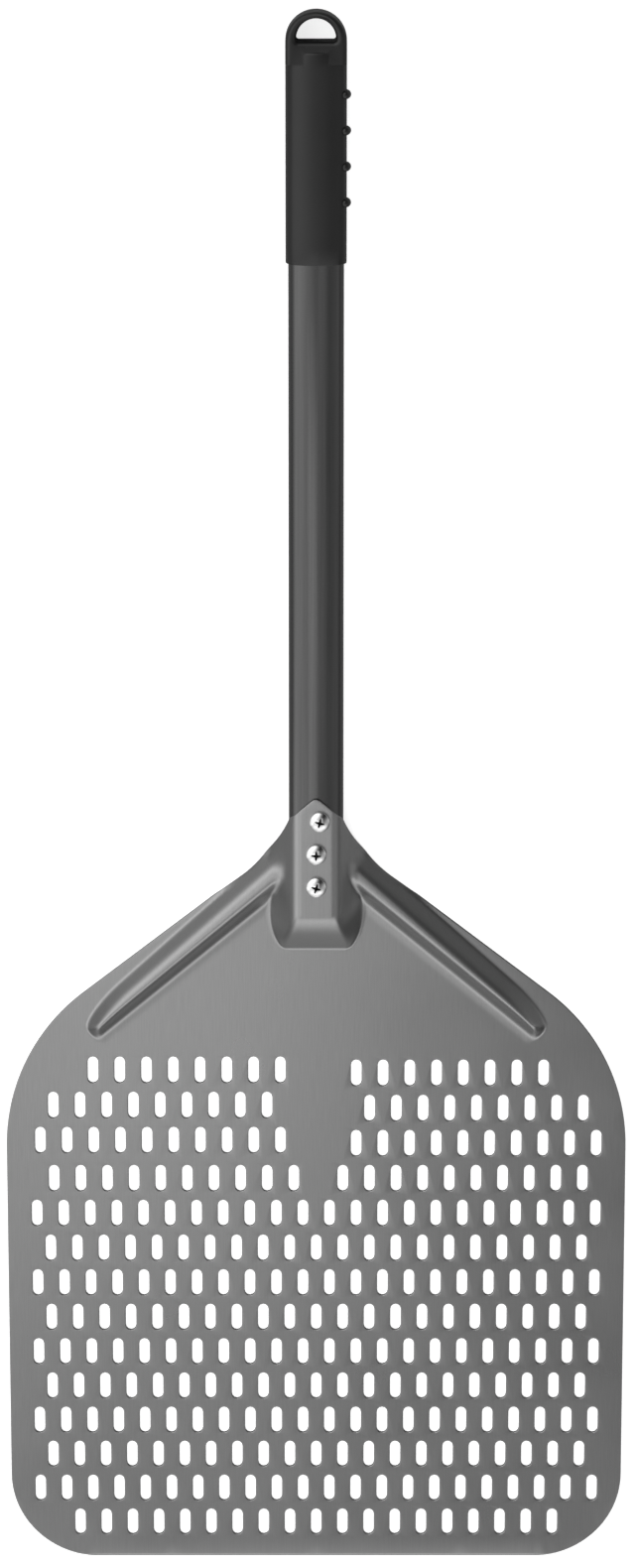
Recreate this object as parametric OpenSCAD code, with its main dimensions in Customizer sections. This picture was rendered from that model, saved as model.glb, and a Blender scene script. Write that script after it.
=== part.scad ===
// Pizza peel: a perforated sheet blade screwed to a flat oval tube with a moulded grip.
// The blade lies flat on z = 0 and the handle runs along +Y, with the origin under the
// middle of the whole peel. Millimetres throughout.

/* [Blade] */
// Width across the straight sides of the blade
blade_w = 305.2; // [250:0.2:400]
// Length of the blade from its front edge to the tip of its neck
blade_l = 398.4; // [320:0.2:500]
// Thickness of the sheet
sheet_t = 1.8; // [1.2:0.1:2.4]
// Radius of the two front corners
corner_r = 44; // [25:1:60]
// Radius of the shoulders, where they run into the straight sides
shoulder_r = 100; // [70:1:120]
// Slope of the shoulders, from straight across
shoulder_deg = 37.8; // [34:0.1:42]
// Distance from the tip of the neck to where the two shoulder lines would meet
shoulder_drop = 13.8; // [11:0.1:17]
// Radius of the hollow on each side of the neck
neck_r = 72; // [55:1:90]
// Slope of the two edges of the neck's tip, from straight across
tip_deg = 40; // [35:1:45]
// Width of the bevel along the front edge
bevel_w = 1.6; // [0.5:0.1:3]
// Height of the bevel along the front edge
bevel_h = 1.1; // [0.4:0.1:1.2]

/* [Slots] */
// Width of a slot
slot_w = 5.2; // [3:0.1:7]
// Length of a slot, with its round ends
slot_l = 13.6; // [9:0.1:15]
// Distance between neighbouring slots in a row
slot_pitch = 13.15; // [10:0.05:18]
// Distance between rows
row_pitch = 18.18; // [16:0.01:24]
// Distance from the front edge to the middle of the first row
front_row = 18.6; // [14:0.1:30]
// Distance from the tip of the neck to the middle of the last row
rear_row = 143.4; // [120:0.1:190]
// Least plain sheet between a slot and the side of the blade
side_plain = 11.5; // [8:0.1:18]
// Least plain sheet between a slot and the shoulder, along the blade
rear_plain = 30; // [20:1:40]
// Least plain sheet between a slot and the front corner, along the blade
front_plain = 8; // [5:1:10]
// Width of the plain oval patch in front of the handle
patch_w = 36; // [28:1:50]
// Length of the plain oval patch in front of the handle
patch_l = 72; // [50:1:90]
// Distance from the middle of the last row to the middle of the plain patch
patch_off = 21.5; // [15:0.5:30]
// How far the second punch hit, rear left, sits off the grid across the blade
hit_off_x = 2.1; // [0:0.1:2.5]
// How far that hit sits off the grid along the blade
hit_off_y = 1.6; // [0:0.1:2]
// Number of rows that the second punch hit makes
hit_rows = 4; // [1:1:6]

/* [Pressed channel and ribs] */
// Half width of the channel's flat top
channel_top = 10.3; // [9:0.1:13]
// Half width of the channel at the sheet
channel_foot = 21.8; // [20:0.1:27]
// Distance from the tip of the neck to the end of the channel's flat top
channel_l = 64.5; // [62:0.1:75]
// Length of the ramp in front of the flat top
ramp_l = 17.1; // [15:0.1:30]
// Radius of the ribs over their backs
rib_r = 8; // [6.5:0.1:9]
// Height of a rib's back over the table beside the channel
rib_rise = 9.8; // [9:0.1:12]
// Height of a rib's back over the table at its far end
rib_end_rise = 8.8; // [6:0.1:9]
// Distance of a rib's inner end from the centre line
rib_x = 16.7; // [15:0.1:20]
// Distance of a rib's inner end from the tip of the neck
rib_y = 36.2; // [34:0.1:42]
// Length of a rib between the middles of its round ends
rib_l = 118.9; // [90:0.1:125]
// Slope of the ribs, from straight across
rib_deg = 42.7; // [41:0.1:44]

/* [Tube] */
// Width of the tube
tube_w = 26.4; // [23:0.1:27]
// Height of the tube
tube_h = 15; // [14:0.1:17]
// Wall of the tube
tube_wall = 1.5; // [1:0.1:2]
// Radius of the tube's narrow sides
tube_side_r = 6; // [5:0.1:6.4]
// Height of the tube's underside over the table
tube_lift = 1.5; // [1:0.1:3]
// Length of bare tube between the blade and the grip
bare_l = 259.9; // [120:0.1:900]

/* [Grip] */
// Length of the grip
grip_l = 119.2; // [95:0.1:160]
// Wall of the grip's socket at the tube's narrow sides
grip_side_wall = 1.2; // [1:0.05:3]
// Wall of the grip's socket over the tube's broad faces
grip_face_wall = 1.2; // [1:0.05:1.2]
// Length of the grip's flat hanging loop, from the step to the top
loop_l = 18.7; // [17:0.1:30]
// Thickness of the hanging loop
loop_t = 16; // [12:0.1:17]
// Radius along the edges of the hanging loop
loop_edge_r = 2.4; // [1:0.1:4]
// Width of the hanging hole
hole_w = 18.6; // [12:0.1:20]
// Wall over the top of the hanging hole
hole_top = 3.2; // [2.5:0.1:5]
// Length of the straight part of the hanging hole
hole_straight = 1.5; // [1:0.1:4]
// Plastic between the end of the socket and the hanging hole
socket_end = 17; // [8:0.1:25]
// Number of finger ridges on one side of the grip
ridge_n = 4; // [2:1:5]
// Distance between finger ridges
ridge_pitch = 17; // [12:0.1:20]
// Distance from the top of the grip to the first finger ridge
ridge_first = 39.3; // [34:0.1:50]
// Height of a finger ridge on the narrow side
ridge_h = 10; // [6:0.5:12]
// Radius of a finger ridge
ridge_r = 2.05; // [1:0.05:2.6]

/* [Screws and nuts] */
// Distance between screws
screw_pitch = 16.4; // [14:0.1:18]
// Distance from the tip of the neck to the first screw
screw_first = 10.8; // [9:0.1:13]
// Thread diameter
screw_d = 5; // [4:0.1:5.5]
// Length of a screw under its head
screw_l = 12; // [10:0.5:13]
// Diameter of a screw's head
head_d = 10; // [8:0.1:11]
// Height of a screw's head
head_h = 3.7; // [3:0.1:4.5]
// Radius of the head's dome
dome_r = 8; // [6.6:0.1:12]
// Width of the cross recess
recess_w = 4.9; // [3.5:0.1:6]
// Width of one arm of the cross recess
recess_arm = 1.1; // [0.8:0.1:1.6]
// Depth of the cross recess
recess_depth = 2.2; // [1.5:0.1:2.6]
// Width of a nut across its flats
nut_flats = 8; // [7:0.1:8.6]
// Thickness of a nut
nut_t = 4; // [3:0.1:4.5]
// How far the rear screw sits off the centre line
rear_screw_off = 1.7; // [0:0.1:2]

/* [Nut carrier] */
// Length of the nut carrier past the rear nut
carrier_past = 3.5; // [2:0.5:20]
// Thickness of the flange that closes the tube's end
flange_t = 2; // [1:0.1:2.4]
// Plastic over the nuts
carrier_roof = 3; // [2:0.1:3.6]

/* [Fits] */
// Gap between the nut carrier and the tube's inside
carrier_gap = 0.15; // [0.05:0.05:0.4]
// Gap between the grip's socket and the tube
socket_gap = 0.05; // [0.02:0.01:0.2]
// Gap between a nut and its pocket
nut_gap = 0.1; // [0.05:0.05:0.3]
// Gap round a screw in its hole
hole_gap = 0.25; // [0.15:0.05:0.5]
// Gap between a screw's thread and its nut
thread_gap = 0.02; // [0.01:0.01:0.1]
// Gap between the tube's end and the inside of the ramp
ramp_gap = 0.5; // [0.3:0.1:3]

/* [Hidden] */
$fn = 64;

BLADE_GREY = "#8f9092";
TUBE_GREY = "#4a4b4e";
GRIP_BLACK = "#222325";
CARRIER_BLACK = "#2c2c2e";
SCREW_SILVER = "#d4d5d8";
NUT_ZINC = "#b4b7b8";

// Places along the peel
overall_l = blade_l + bare_l + grip_l;
front_y = -overall_l / 2;
tip_y = front_y + blade_l;
top_y = overall_l / 2;
grip_y = top_y - grip_l;

// Heights
tube_mid_z = tube_lift + tube_h / 2;
tube_top_z = tube_lift + tube_h;
channel_z = tube_top_z + sheet_t;
roof_z = tube_top_z - tube_wall - carrier_gap;
nut_top_z = roof_z - carrier_roof;

// Outline of the blade
half_w = blade_w / 2;
apex_y = tip_y - shoulder_drop;
slope = [cos(shoulder_deg), -sin(shoulder_deg)];
outward = [sin(shoulder_deg), cos(shoulder_deg)];
neck_corner = [tube_w / 2, tip_y - tube_w / 2 * tan(tip_deg)];
from_apex = neck_corner - [0, apex_y];
corner_out = from_apex * outward;
corner_along = from_apex * slope;
hollow_along = corner_along + sqrt(2 * neck_r * corner_out - corner_out ^ 2);
hollow_start = [0, apex_y] + hollow_along * slope;
hollow_mid = hollow_start + neck_r * outward;
shoulder_x = half_w - shoulder_r;
shoulder_start = [shoulder_x + shoulder_r * outward[0],
                  apex_y - (shoulder_x + shoulder_r * outward[0]) * tan(shoulder_deg)];
shoulder_mid = shoulder_start - shoulder_r * outward;
corner_mid = [half_w - corner_r, front_y + corner_r];
tall = 4 * tube_h;

// The slots
row_n = floor((blade_l - front_row - rear_row) / row_pitch) + 1;
column_n = ceil(half_w / slot_pitch);
patch_mid = tip_y - rear_row - patch_off;

function rear_edge(x) =
    x < shoulder_start[0] ? apex_y - x * tan(shoulder_deg)
    : shoulder_mid[1] + sqrt(shoulder_r ^ 2 - (x - shoulder_mid[0]) ^ 2);
function front_edge(x) =
    x < corner_mid[0] ? front_y
    : corner_mid[1] - sqrt(corner_r ^ 2 - (x - corner_mid[0]) ^ 2);
function row_y(row) = front_y + front_row + row * row_pitch;
function slot_x(row, column) = (column + (row % 2) / 2) * slot_pitch;
function clear_of_edges(x, y) =
    x + slot_w / 2 <= half_w - side_plain
    && rear_edge(x) - y - slot_l / 2 >= rear_plain
    && y - slot_l / 2 - front_edge(x) >= front_plain;
function clear_of_patch(x, y) =
    (2 * x / patch_w) ^ 2 + (2 * (y - patch_mid) / patch_l) ^ 2 >= 1;
function hit_shift(x, rows_from_rear) =
    x >= 0 || rows_from_rear >= hit_rows ? [0, 0]
    : [hit_off_x, rows_from_rear < hit_rows - 1 ? hit_off_y : 0];
SLOTS = [
    for (row = [0 : row_n - 1], column = [-column_n : column_n])
        let (x = slot_x(row, column), y = row_y(row))
        if (clear_of_edges(abs(x), y) && clear_of_patch(x, y))
            [x, y] + hit_shift(x, row_n - 1 - row)
];

// Screws, from the neck's tip towards the front
function screw_place(i) =
    [i == 0 ? rear_screw_off : 0, tip_y - screw_first - i * screw_pitch];

// The tube's end, under the front of the channel's flat top
ramp_deg = atan2(channel_z - sheet_t, ramp_l);
carrier_end_y = tip_y - channel_l + sheet_t * tan(ramp_deg / 2) + ramp_gap;
tube_end_y = carrier_end_y + flange_t;
carrier_far_y = tip_y - screw_first + nut_flats / 2 / cos(30) + nut_gap + carrier_past;
tube_far_y = top_y - hole_top - hole_w / 2 - hole_straight - socket_end;

// Grip sizes
grip_w = tube_w + 2 * (socket_gap + grip_side_wall);
grip_h = tube_h + 2 * (socket_gap + grip_face_wall);
grip_side_r = tube_side_r + socket_gap + min(grip_side_wall, grip_face_wall);
step_y = top_y - loop_l;
loop_mid_y = top_y - grip_w / 2;
hole_mid_y = top_y - hole_top - hole_w / 2;

// A flat oval of four arcs that run smoothly into each other, w wide and h high,
// with narrow sides of radius side_r
module flat_oval(w, h, side_r) {
    a = w / 2 - side_r;
    crown_r = (a ^ 2 + (h / 2) ^ 2 - side_r ^ 2) / (h - 2 * side_r);
    join_x = crown_r * a / (crown_r - side_r);
    intersection() {
        translate([0, h / 2 - crown_r]) circle(r = crown_r, $fn = 240);
        translate([0, crown_r - h / 2]) circle(r = crown_r, $fn = 240);
        square([2 * join_x, 2 * h], center = true);
    }
    for (side = [-1, 1])
        translate([side * a, 0]) circle(r = side_r, $fn = 96);
}

// Stands a flat shape up and runs it along +Y, from y = start to y = end
module along_y(start, end) {
    translate([0, end, tube_mid_z]) rotate([90, 0, 0])
        linear_extrude(height = end - start) children();
}

// What is cut away round a corner of radius r about mid, between two edges whose
// outward directions are out_a and out_b
module corner_waste(mid, r, out_a, out_b) {
    difference() {
        translate(mid) polygon([
            [0, 0], 2 * r * out_a, 2 * r * (out_a + out_b), 2 * r * out_b
        ]);
        translate(mid) circle(r = r, $fn = 240);
    }
}

// Plan of the +X side of the blade, with a sliver past the middle line
module half_outline() {
    past = 1;
    difference() {
        polygon([
            [-past, tip_y - past * tan(tip_deg)], [0, tip_y], neck_corner, hollow_start,
            [half_w, apex_y - half_w * tan(shoulder_deg)], [half_w, front_y],
            [-past, front_y]
        ]);
        corner_waste(shoulder_mid, shoulder_r, outward, [1, 0]);
        corner_waste(corner_mid, corner_r, [1, 0], [0, -1]);
        translate(hollow_mid) circle(r = neck_r, $fn = 240);
    }
}

// One slot with round ends
module slot() {
    square([slot_w, slot_l - slot_w], center = true);
    for (end = [-1, 1])
        translate([0, end * (slot_l - slot_w) / 2]) circle(d = slot_w, $fn = 24);
}

// The pressed channel over the tube: its outside where inset is 0, and its inside
// where inset is the thickness of the sheet
module channel(inset) {
    rise = channel_z - sheet_t;
    wall_deg = atan2(rise, channel_foot - channel_top);
    wall_in = inset / sin(wall_deg);
    lean = (channel_foot - channel_top) / rise;
    top_z = channel_z - inset;
    ramp_in = inset / sin(ramp_deg);
    ramp_lean = ramp_l / rise;
    low_z = -sheet_t;
    intersection() {
        translate([0, tip_y + tube_h, 0]) rotate([90, 0, 0])
            linear_extrude(height = channel_l + ramp_l + 3 * tube_h) polygon([
                [-channel_top + wall_in - lean * (channel_z - low_z), low_z],
                [channel_top - wall_in + lean * (channel_z - low_z), low_z],
                [channel_top - wall_in + lean * inset, top_z],
                [-channel_top + wall_in - lean * inset, top_z]
            ]);
        translate([-channel_foot * 2, 0, 0]) rotate([90, 0, 90])
            linear_extrude(height = channel_foot * 4) polygon([
                [tip_y + tube_h, low_z],
                [tip_y - channel_l + ramp_in - ramp_lean * (channel_z - low_z), low_z],
                [tip_y - channel_l + ramp_in - ramp_lean * inset, top_z],
                [tip_y + tube_h, top_z]
            ]);
    }
}

// A pressed rib on the +X side: its outside, or its inside where inset is the sheet
module rib(inset) {
    tilt = asin((rib_rise - rib_end_rise) / rib_l);
    translate([rib_x, tip_y - rib_y, rib_rise - rib_r])
        rotate([0, tilt, -rib_deg]) {
            rotate([0, 90, 0]) cylinder(r = rib_r - inset, h = rib_l, $fn = 64);
            sphere(r = rib_r - inset, $fn = 64);
            translate([rib_l, 0, 0]) sphere(r = rib_r - inset, $fn = 64);
        }
}

// The solid that the screws pass through, with the gap round them
module screw_holes(low_z, high_z) {
    for (i = [0 : 2])
        translate([screw_place(i)[0], screw_place(i)[1], low_z])
            cylinder(d = screw_d + 2 * hole_gap, h = high_z - low_z, $fn = 48);
}

// The flat sheet of the +X side and the outside of what is pressed up on that side
module half_blade() {
    intersection() {
        union() {
            translate([-1, front_y - 1, 0])
                cube([half_w + 1, blade_l + 2, sheet_t]);
            intersection() {
                union() {
                    channel(0);
                    rib(0);
                }
                translate([-1, front_y, 0]) cube([half_w + 1, blade_l, tall]);
            }
        }
        translate([0, 0, -1]) linear_extrude(height = tall) half_outline();
    }
}

module blade() {
    color(BLADE_GREY) difference() {
        union() {
            half_blade();
            mirror([1, 0, 0]) half_blade();
        }
        channel(sheet_t);
        rib(sheet_t);
        mirror([1, 0, 0]) rib(sheet_t);
        translate([0, 0, -1]) linear_extrude(height = sheet_t + 2)
            for (place = SLOTS) translate(place) slot();
        screw_holes(tube_mid_z, channel_z + 1);
        translate([-half_w, front_y, sheet_t]) rotate([90, 0, 90])
            linear_extrude(height = blade_w) polygon([
                [-bevel_w, -2 * bevel_h], [0, -bevel_h], [bevel_w, 0],
                [bevel_w, bevel_h], [-bevel_w, bevel_h]
            ]);
    }
}

module tube() {
    color(TUBE_GREY) difference() {
        along_y(tube_end_y, tube_far_y) flat_oval(tube_w, tube_h, tube_side_r);
        along_y(tube_end_y - 1, tube_far_y + 1)
            flat_oval(tube_w - 2 * tube_wall, tube_h - 2 * tube_wall,
                      tube_side_r - tube_wall);
        screw_holes(tube_mid_z, channel_z);
    }
}

// Half of the loop's cross-section, with its edges rounded
module loop_half_section() {
    edge_x = grip_w / 2 - loop_edge_r;
    edge_z = loop_t / 2 - loop_edge_r;
    translate([0, -loop_t / 2]) square([edge_x, loop_t]);
    translate([0, -edge_z]) square([grip_w / 2, 2 * edge_z]);
    for (side = [-1, 1])
        translate([edge_x, side * edge_z]) circle(r = loop_edge_r, $fn = 48);
}

// A finger ridge: the part of a ring that goes round the grip's narrow side
module finger_ridge() {
    intersection() {
        rotate([90, 0, 0]) rotate_extrude($fn = 96)
            translate([grip_side_r, 0]) circle(r = ridge_r, $fn = 32);
        translate([grip_side_r, 0, 0])
            cube([2 * grip_side_r, 4 * ridge_r, ridge_h], center = true);
    }
}

module grip() {
    color(GRIP_BLACK) difference() {
        union() {
            along_y(grip_y, step_y) flat_oval(grip_w, grip_h, grip_side_r);
            along_y(step_y - socket_end / 2, loop_mid_y) {
                loop_half_section();
                mirror([1, 0]) loop_half_section();
            }
            translate([0, loop_mid_y, tube_mid_z])
                rotate_extrude($fn = 128) intersection() {
                    loop_half_section();
                    translate([0, -loop_t]) square([grip_w, 2 * loop_t]);
                }
            for (i = [0 : ridge_n - 1])
                translate([grip_w / 2 - grip_side_r,
                           top_y - ridge_first - i * ridge_pitch, tube_mid_z])
                    finger_ridge();
        }
        along_y(grip_y - 1, tube_far_y)
            flat_oval(tube_w + 2 * socket_gap, tube_h + 2 * socket_gap,
                      tube_side_r + socket_gap);
        translate([0, hole_mid_y, -1]) {
            cylinder(d = hole_w, h = grip_h + tube_mid_z, $fn = 96);
            translate([-hole_w / 2, -hole_straight, 0])
                cube([hole_w, hole_straight, grip_h + tube_mid_z]);
        }
    }
}

// Hexagonal prism with the given width across its flats
module hexagon(flats, h) {
    cylinder(d = flats / cos(30), h = h, $fn = 6);
}

module nut_carrier() {
    inner_w = tube_w - 2 * tube_wall - 2 * carrier_gap;
    inner_h = tube_h - 2 * tube_wall - 2 * carrier_gap;
    inner_r = tube_side_r - tube_wall - carrier_gap;
    color(CARRIER_BLACK) difference() {
        union() {
            along_y(carrier_end_y, carrier_far_y)
                flat_oval(inner_w, inner_h, inner_r);
            along_y(carrier_end_y, tube_end_y)
                flat_oval(tube_w - 2 * carrier_gap, tube_h - 2 * carrier_gap,
                          tube_side_r - carrier_gap);
        }
        screw_holes(0, channel_z);
        for (i = [0 : 2])
            translate([screw_place(i)[0], screw_place(i)[1], 0])
                hexagon(nut_flats + 2 * nut_gap, nut_top_z);
    }
}

// A pan-head screw with a cross recess, its head down on the channel
module screw(i) {
    recess_z = head_h - recess_depth;
    color(SCREW_SILVER)
    translate([screw_place(i)[0], screw_place(i)[1], channel_z]) difference() {
        union() {
            intersection() {
                cylinder(d = head_d, h = head_h, $fn = 64);
                translate([0, 0, head_h - dome_r]) sphere(r = dome_r, $fn = 96);
            }
            translate([0, 0, -screw_l]) cylinder(d = screw_d, h = screw_l + 0.5);
        }
        intersection() {
            for (turn = [0, 90])
                rotate([0, 0, turn])
                    translate([-recess_w / 2, -recess_arm / 2, recess_z])
                        cube([recess_w, recess_arm, head_h]);
            translate([0, 0, recess_z])
                cylinder(d1 = recess_arm * 1.6, d2 = recess_w, h = recess_depth,
                         $fn = 48);
        }
    }
}

// A plain hexagon nut, up against the roof of its pocket
module nut(i) {
    color(NUT_ZINC)
    translate([screw_place(i)[0], screw_place(i)[1], nut_top_z - nut_t]) difference() {
        hexagon(nut_flats, nut_t);
        translate([0, 0, -1])
            cylinder(d = screw_d + 2 * thread_gap, h = nut_t + 2, $fn = 48);
    }
}

blade();
tube();
grip();
nut_carrier();
screw(0);  // screw_rear
screw(1);  // screw_middle
screw(2);  // screw_front
nut(0);  // nut_rear
nut(1);  // nut_middle
nut(2);  // nut_front
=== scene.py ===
"""Pizza peel: a perforated sheet blade screwed to a flat oval tube with a moulded grip."""

import math

import bmesh
import bpy
import numpy as np
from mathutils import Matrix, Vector
from mathutils.geometry import delaunay_2d_cdt, tessellate_polygon


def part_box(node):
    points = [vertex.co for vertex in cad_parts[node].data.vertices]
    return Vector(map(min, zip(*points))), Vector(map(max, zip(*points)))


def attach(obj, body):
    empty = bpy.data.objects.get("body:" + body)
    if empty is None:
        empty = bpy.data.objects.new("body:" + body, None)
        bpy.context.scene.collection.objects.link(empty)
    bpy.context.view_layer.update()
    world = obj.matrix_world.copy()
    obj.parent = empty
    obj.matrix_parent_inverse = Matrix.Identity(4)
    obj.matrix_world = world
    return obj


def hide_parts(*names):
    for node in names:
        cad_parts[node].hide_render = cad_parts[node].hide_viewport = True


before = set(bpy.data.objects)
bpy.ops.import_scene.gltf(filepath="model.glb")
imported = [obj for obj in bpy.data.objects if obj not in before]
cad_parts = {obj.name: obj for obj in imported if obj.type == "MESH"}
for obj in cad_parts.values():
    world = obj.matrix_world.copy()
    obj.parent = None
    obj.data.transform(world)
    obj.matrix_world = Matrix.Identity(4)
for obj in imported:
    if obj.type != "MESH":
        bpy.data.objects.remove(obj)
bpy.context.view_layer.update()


# ---------------------------------------------------------------------------
# Camera
# It looks down on the peel as it lies, leaning towards the grip, from far enough off
# that the sides stay all but parallel.
# ---------------------------------------------------------------------------
MM = 0.001
scene = bpy.context.scene

camera_lean = math.radians(15)
camera_distance = 2750 * MM
camera_aim = Vector((0.67 * MM, 12.75 * MM, 0))

camera_data = bpy.data.cameras.new("camera")
camera_data.lens = 130.2
camera_data.clip_start = 0.1
camera = bpy.data.objects.new("camera", camera_data)
scene.collection.objects.link(camera)
camera.location = camera_aim + camera_distance * Vector(
    (0, math.sin(camera_lean), math.cos(camera_lean))
)
camera.rotation_euler = (-camera_lean, 0, 0)
scene.camera = camera


# ---------------------------------------------------------------------------
# Blade
# One sheet of hard-anodised aluminium, cut to outline and punched with slots, then pressed:
# a channel that fits over the tube, and two ribs that stiffen the shoulders.
# ---------------------------------------------------------------------------
def smooth_min(a, b, blend):
    """The lower of two heights, with the crease between them rounded over blend."""
    near = np.maximum(blend - np.abs(a - b), 0) / blend
    return np.minimum(a, b) - near * near * blend / 4


def smooth_max(a, b, blend):
    return -smooth_min(-a, -b, blend)


def shade(mesh, sharp_deg):
    """Shades a mesh smooth but for its sharp edges."""
    mesh.shade_smooth()
    mesh.set_sharp_from_angle(angle=math.radians(sharp_deg))


def new_mesh(name, points, faces, smooth=True):
    """A piece from points in millimetres in the frame."""
    mesh = bpy.data.meshes.new(name)
    mesh.from_pydata([tuple(p) for p in np.asarray(points, float) * MM], [], faces)
    mesh.update()
    if smooth:
        shade(mesh, 40)
    piece = bpy.data.objects.new(name, mesh)
    scene.collection.objects.link(piece)
    return piece


def baked(piece):
    """The piece with its modifiers made into a plain mesh."""
    graph = bpy.context.evaluated_depsgraph_get()
    mesh = bpy.data.meshes.new_from_object(piece.evaluated_get(graph))
    piece.modifiers.clear()
    piece.data = mesh
    mesh.name = piece.name
    return piece


def band(first, second, size):
    """Faces between two rings of points, given by where each ring starts."""
    turn = [(j, (j + 1) % size) for j in range(size)]
    return [(first + j, first + k, second + k, second + j) for j, k in turn]


def box_mm(node):
    low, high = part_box(node)
    return np.array(low) / MM, np.array(high) / MM


blade_low, blade_high = box_mm("blade")
tube_low, tube_high = box_mm("tube")
sheet = 1.8
half_blade = blade_high[0]
front_y = blade_low[1]
tip_y = blade_high[1]
channel_z = blade_high[2]

# Outline, from the middle of the front edge round the +X side to the neck's tip
front_corner_r = 44
shoulder_r = 100
shoulder_slope = math.radians(37.8)
shoulder_drop = 13.8
neck_r = 72
tip_slope = math.radians(40)
tip_r = 3.6


def arc(mid, radius, start_deg, end_deg, step, hollow=False):
    """Points about step apart on an arc, each with its outward direction."""
    count = max(2, int(abs(math.radians(end_deg - start_deg)) * radius / step) + 1)
    out = -1 if hollow else 1
    found = []
    for a in np.radians(np.linspace(start_deg, end_deg, count)):
        way = np.array([math.cos(a), math.sin(a)])
        found.append((mid + radius * way, out * way))
    return found


def straight(start, end, outward, step):
    count = max(2, int(np.linalg.norm(end - start) / step) + 1)
    return [(start + (end - start) * f, outward) for f in np.linspace(0, 1, count)]


def blade_outline():
    """Points round the whole blade, anticlockwise, each with its outward direction."""
    along = np.array([math.cos(shoulder_slope), -math.sin(shoulder_slope)])
    out = np.array([math.sin(shoulder_slope), math.cos(shoulder_slope)])
    apex = np.array([0, tip_y - shoulder_drop])
    tip_out = np.array([math.sin(tip_slope), math.cos(tip_slope)])
    tip_mid = np.array([0, tip_y - tip_r])
    neck_x = tube_high[0]
    tip_peak = tip_mid[1] + tip_r / math.cos(tip_slope)
    neck_corner = np.array([neck_x, tip_peak - neck_x * math.tan(tip_slope)])
    corner_out = (neck_corner - apex) @ out
    hollow_along = (neck_corner - apex) @ along + math.sqrt(
        2 * neck_r * corner_out - corner_out**2
    )
    hollow_start = apex + hollow_along * along
    hollow_mid = hollow_start + neck_r * out
    to_corner = neck_corner - hollow_mid
    shoulder_mid = np.array([half_blade - shoulder_r, 0.0])
    reach = shoulder_mid[0] + shoulder_r * out[0]
    shoulder_start = np.array([reach, apex[1] - reach * math.tan(shoulder_slope)])
    shoulder_mid[1] = shoulder_start[1] - shoulder_r * out[1]
    corner_mid = np.array([half_blade - front_corner_r, front_y + front_corner_r])
    deg = math.degrees
    line_deg = 90 - deg(shoulder_slope)
    pieces = [
        straight(np.array([0, front_y]), np.array([corner_mid[0], front_y]),
                 np.array([0.0, -1.0]), 6),
        arc(corner_mid, front_corner_r, -90, 0, 2.5),
        straight(np.array([half_blade, corner_mid[1]]),
                 np.array([half_blade, shoulder_mid[1]]), np.array([1.0, 0.0]), 9),
        arc(shoulder_mid, shoulder_r, 0, line_deg, 3),
        straight(shoulder_start, hollow_start, out, 1.5),
        arc(hollow_mid, neck_r, line_deg - 180,
            deg(math.atan2(to_corner[1], to_corner[0])), 0.8, hollow=True),
        straight(neck_corner, tip_mid + tip_r * tip_out, tip_out, 0.8),
        arc(tip_mid, tip_r, 90 - deg(tip_slope), 90, 0.4),
    ]
    right = []
    for piece in pieces:
        for point, way in piece:
            if right and np.linalg.norm(point - right[-1][0]) < 0.05:
                mean = way + right[-1][1]
                right[-1] = (point, mean / np.linalg.norm(mean))
            else:
                right.append((np.array(point, float), np.array(way, float)))
    flip = np.array([-1, 1])
    left = [(point * flip, way * flip) for point, way in right[-2:0:-1]]
    points, ways = zip(*(right + left))
    return np.array(points), np.array(ways)


# What is pressed up. The channel's walls bow in towards the foot of its ramp.
channel_top, channel_foot = 10.2, 22.6
ramp_top, ramp_foot = tip_y - 58.5, tip_y - 79.5
ramp_bend, ramp_ease = 1.6, 2.0
bow_start, bow_end = tip_y - 60, ramp_foot - 1.5
bow_width = 11.2
roof_round, ramp_round = 3.6, 2.2
# A rib runs from beside the channel down each shoulder. Its outer side is one slope, and its
# inner side a steep foot under a gentle one that narrows on the way to its nose.
rib_start = np.array([16.7, tip_y - 36.0])
rib_slope = math.radians(42.5)
rib_top, rib_end_top = 9.8, 8.9
rib_end, rib_taper = 128.0, 98.0
rib_outer_foot, rib_outer_rise = 9.0, 1.08
rib_inner_foot, rib_narrowing = 10.0, 0.043
rib_inner_rise, rib_inner_crown, crown_foot = 1.4, 0.28, 2.4
rib_nose_rise = 1.15
rib_round, nose_round = 2.6, 3.0
# How widely the ribs run into the channel, and how sharply all of it meets the flat
join_round, foot_round = 5.0, 0.9
# No more of a curve than this goes into a square root, so that it never ends upright
most_of_arc = 0.998


def channel_height(x, y):
    wall_rise = (channel_z - sheet) / (channel_foot - channel_top)
    into_bow = np.clip((bow_start - y) / (bow_start - bow_end), 0, most_of_arc)
    foot = channel_foot - bow_width * (1 - np.sqrt(1 - into_bow**2))
    wall = sheet + (foot - np.abs(x)) * wall_rise
    # The ramp steepens on its way down and eases out at its foot
    down = np.clip((ramp_top - y) / (ramp_top - ramp_foot), 0, 1.4)
    ramp = channel_z - (channel_z - sheet) * down**ramp_bend
    roof = smooth_max(ramp, np.full_like(x, sheet - foot_round), ramp_ease)
    on_ramp = np.clip((ramp_top - y) / 10, 0, 1)
    return smooth_min(roof, wall, roof_round - (roof_round - ramp_round) * on_ramp)


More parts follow.
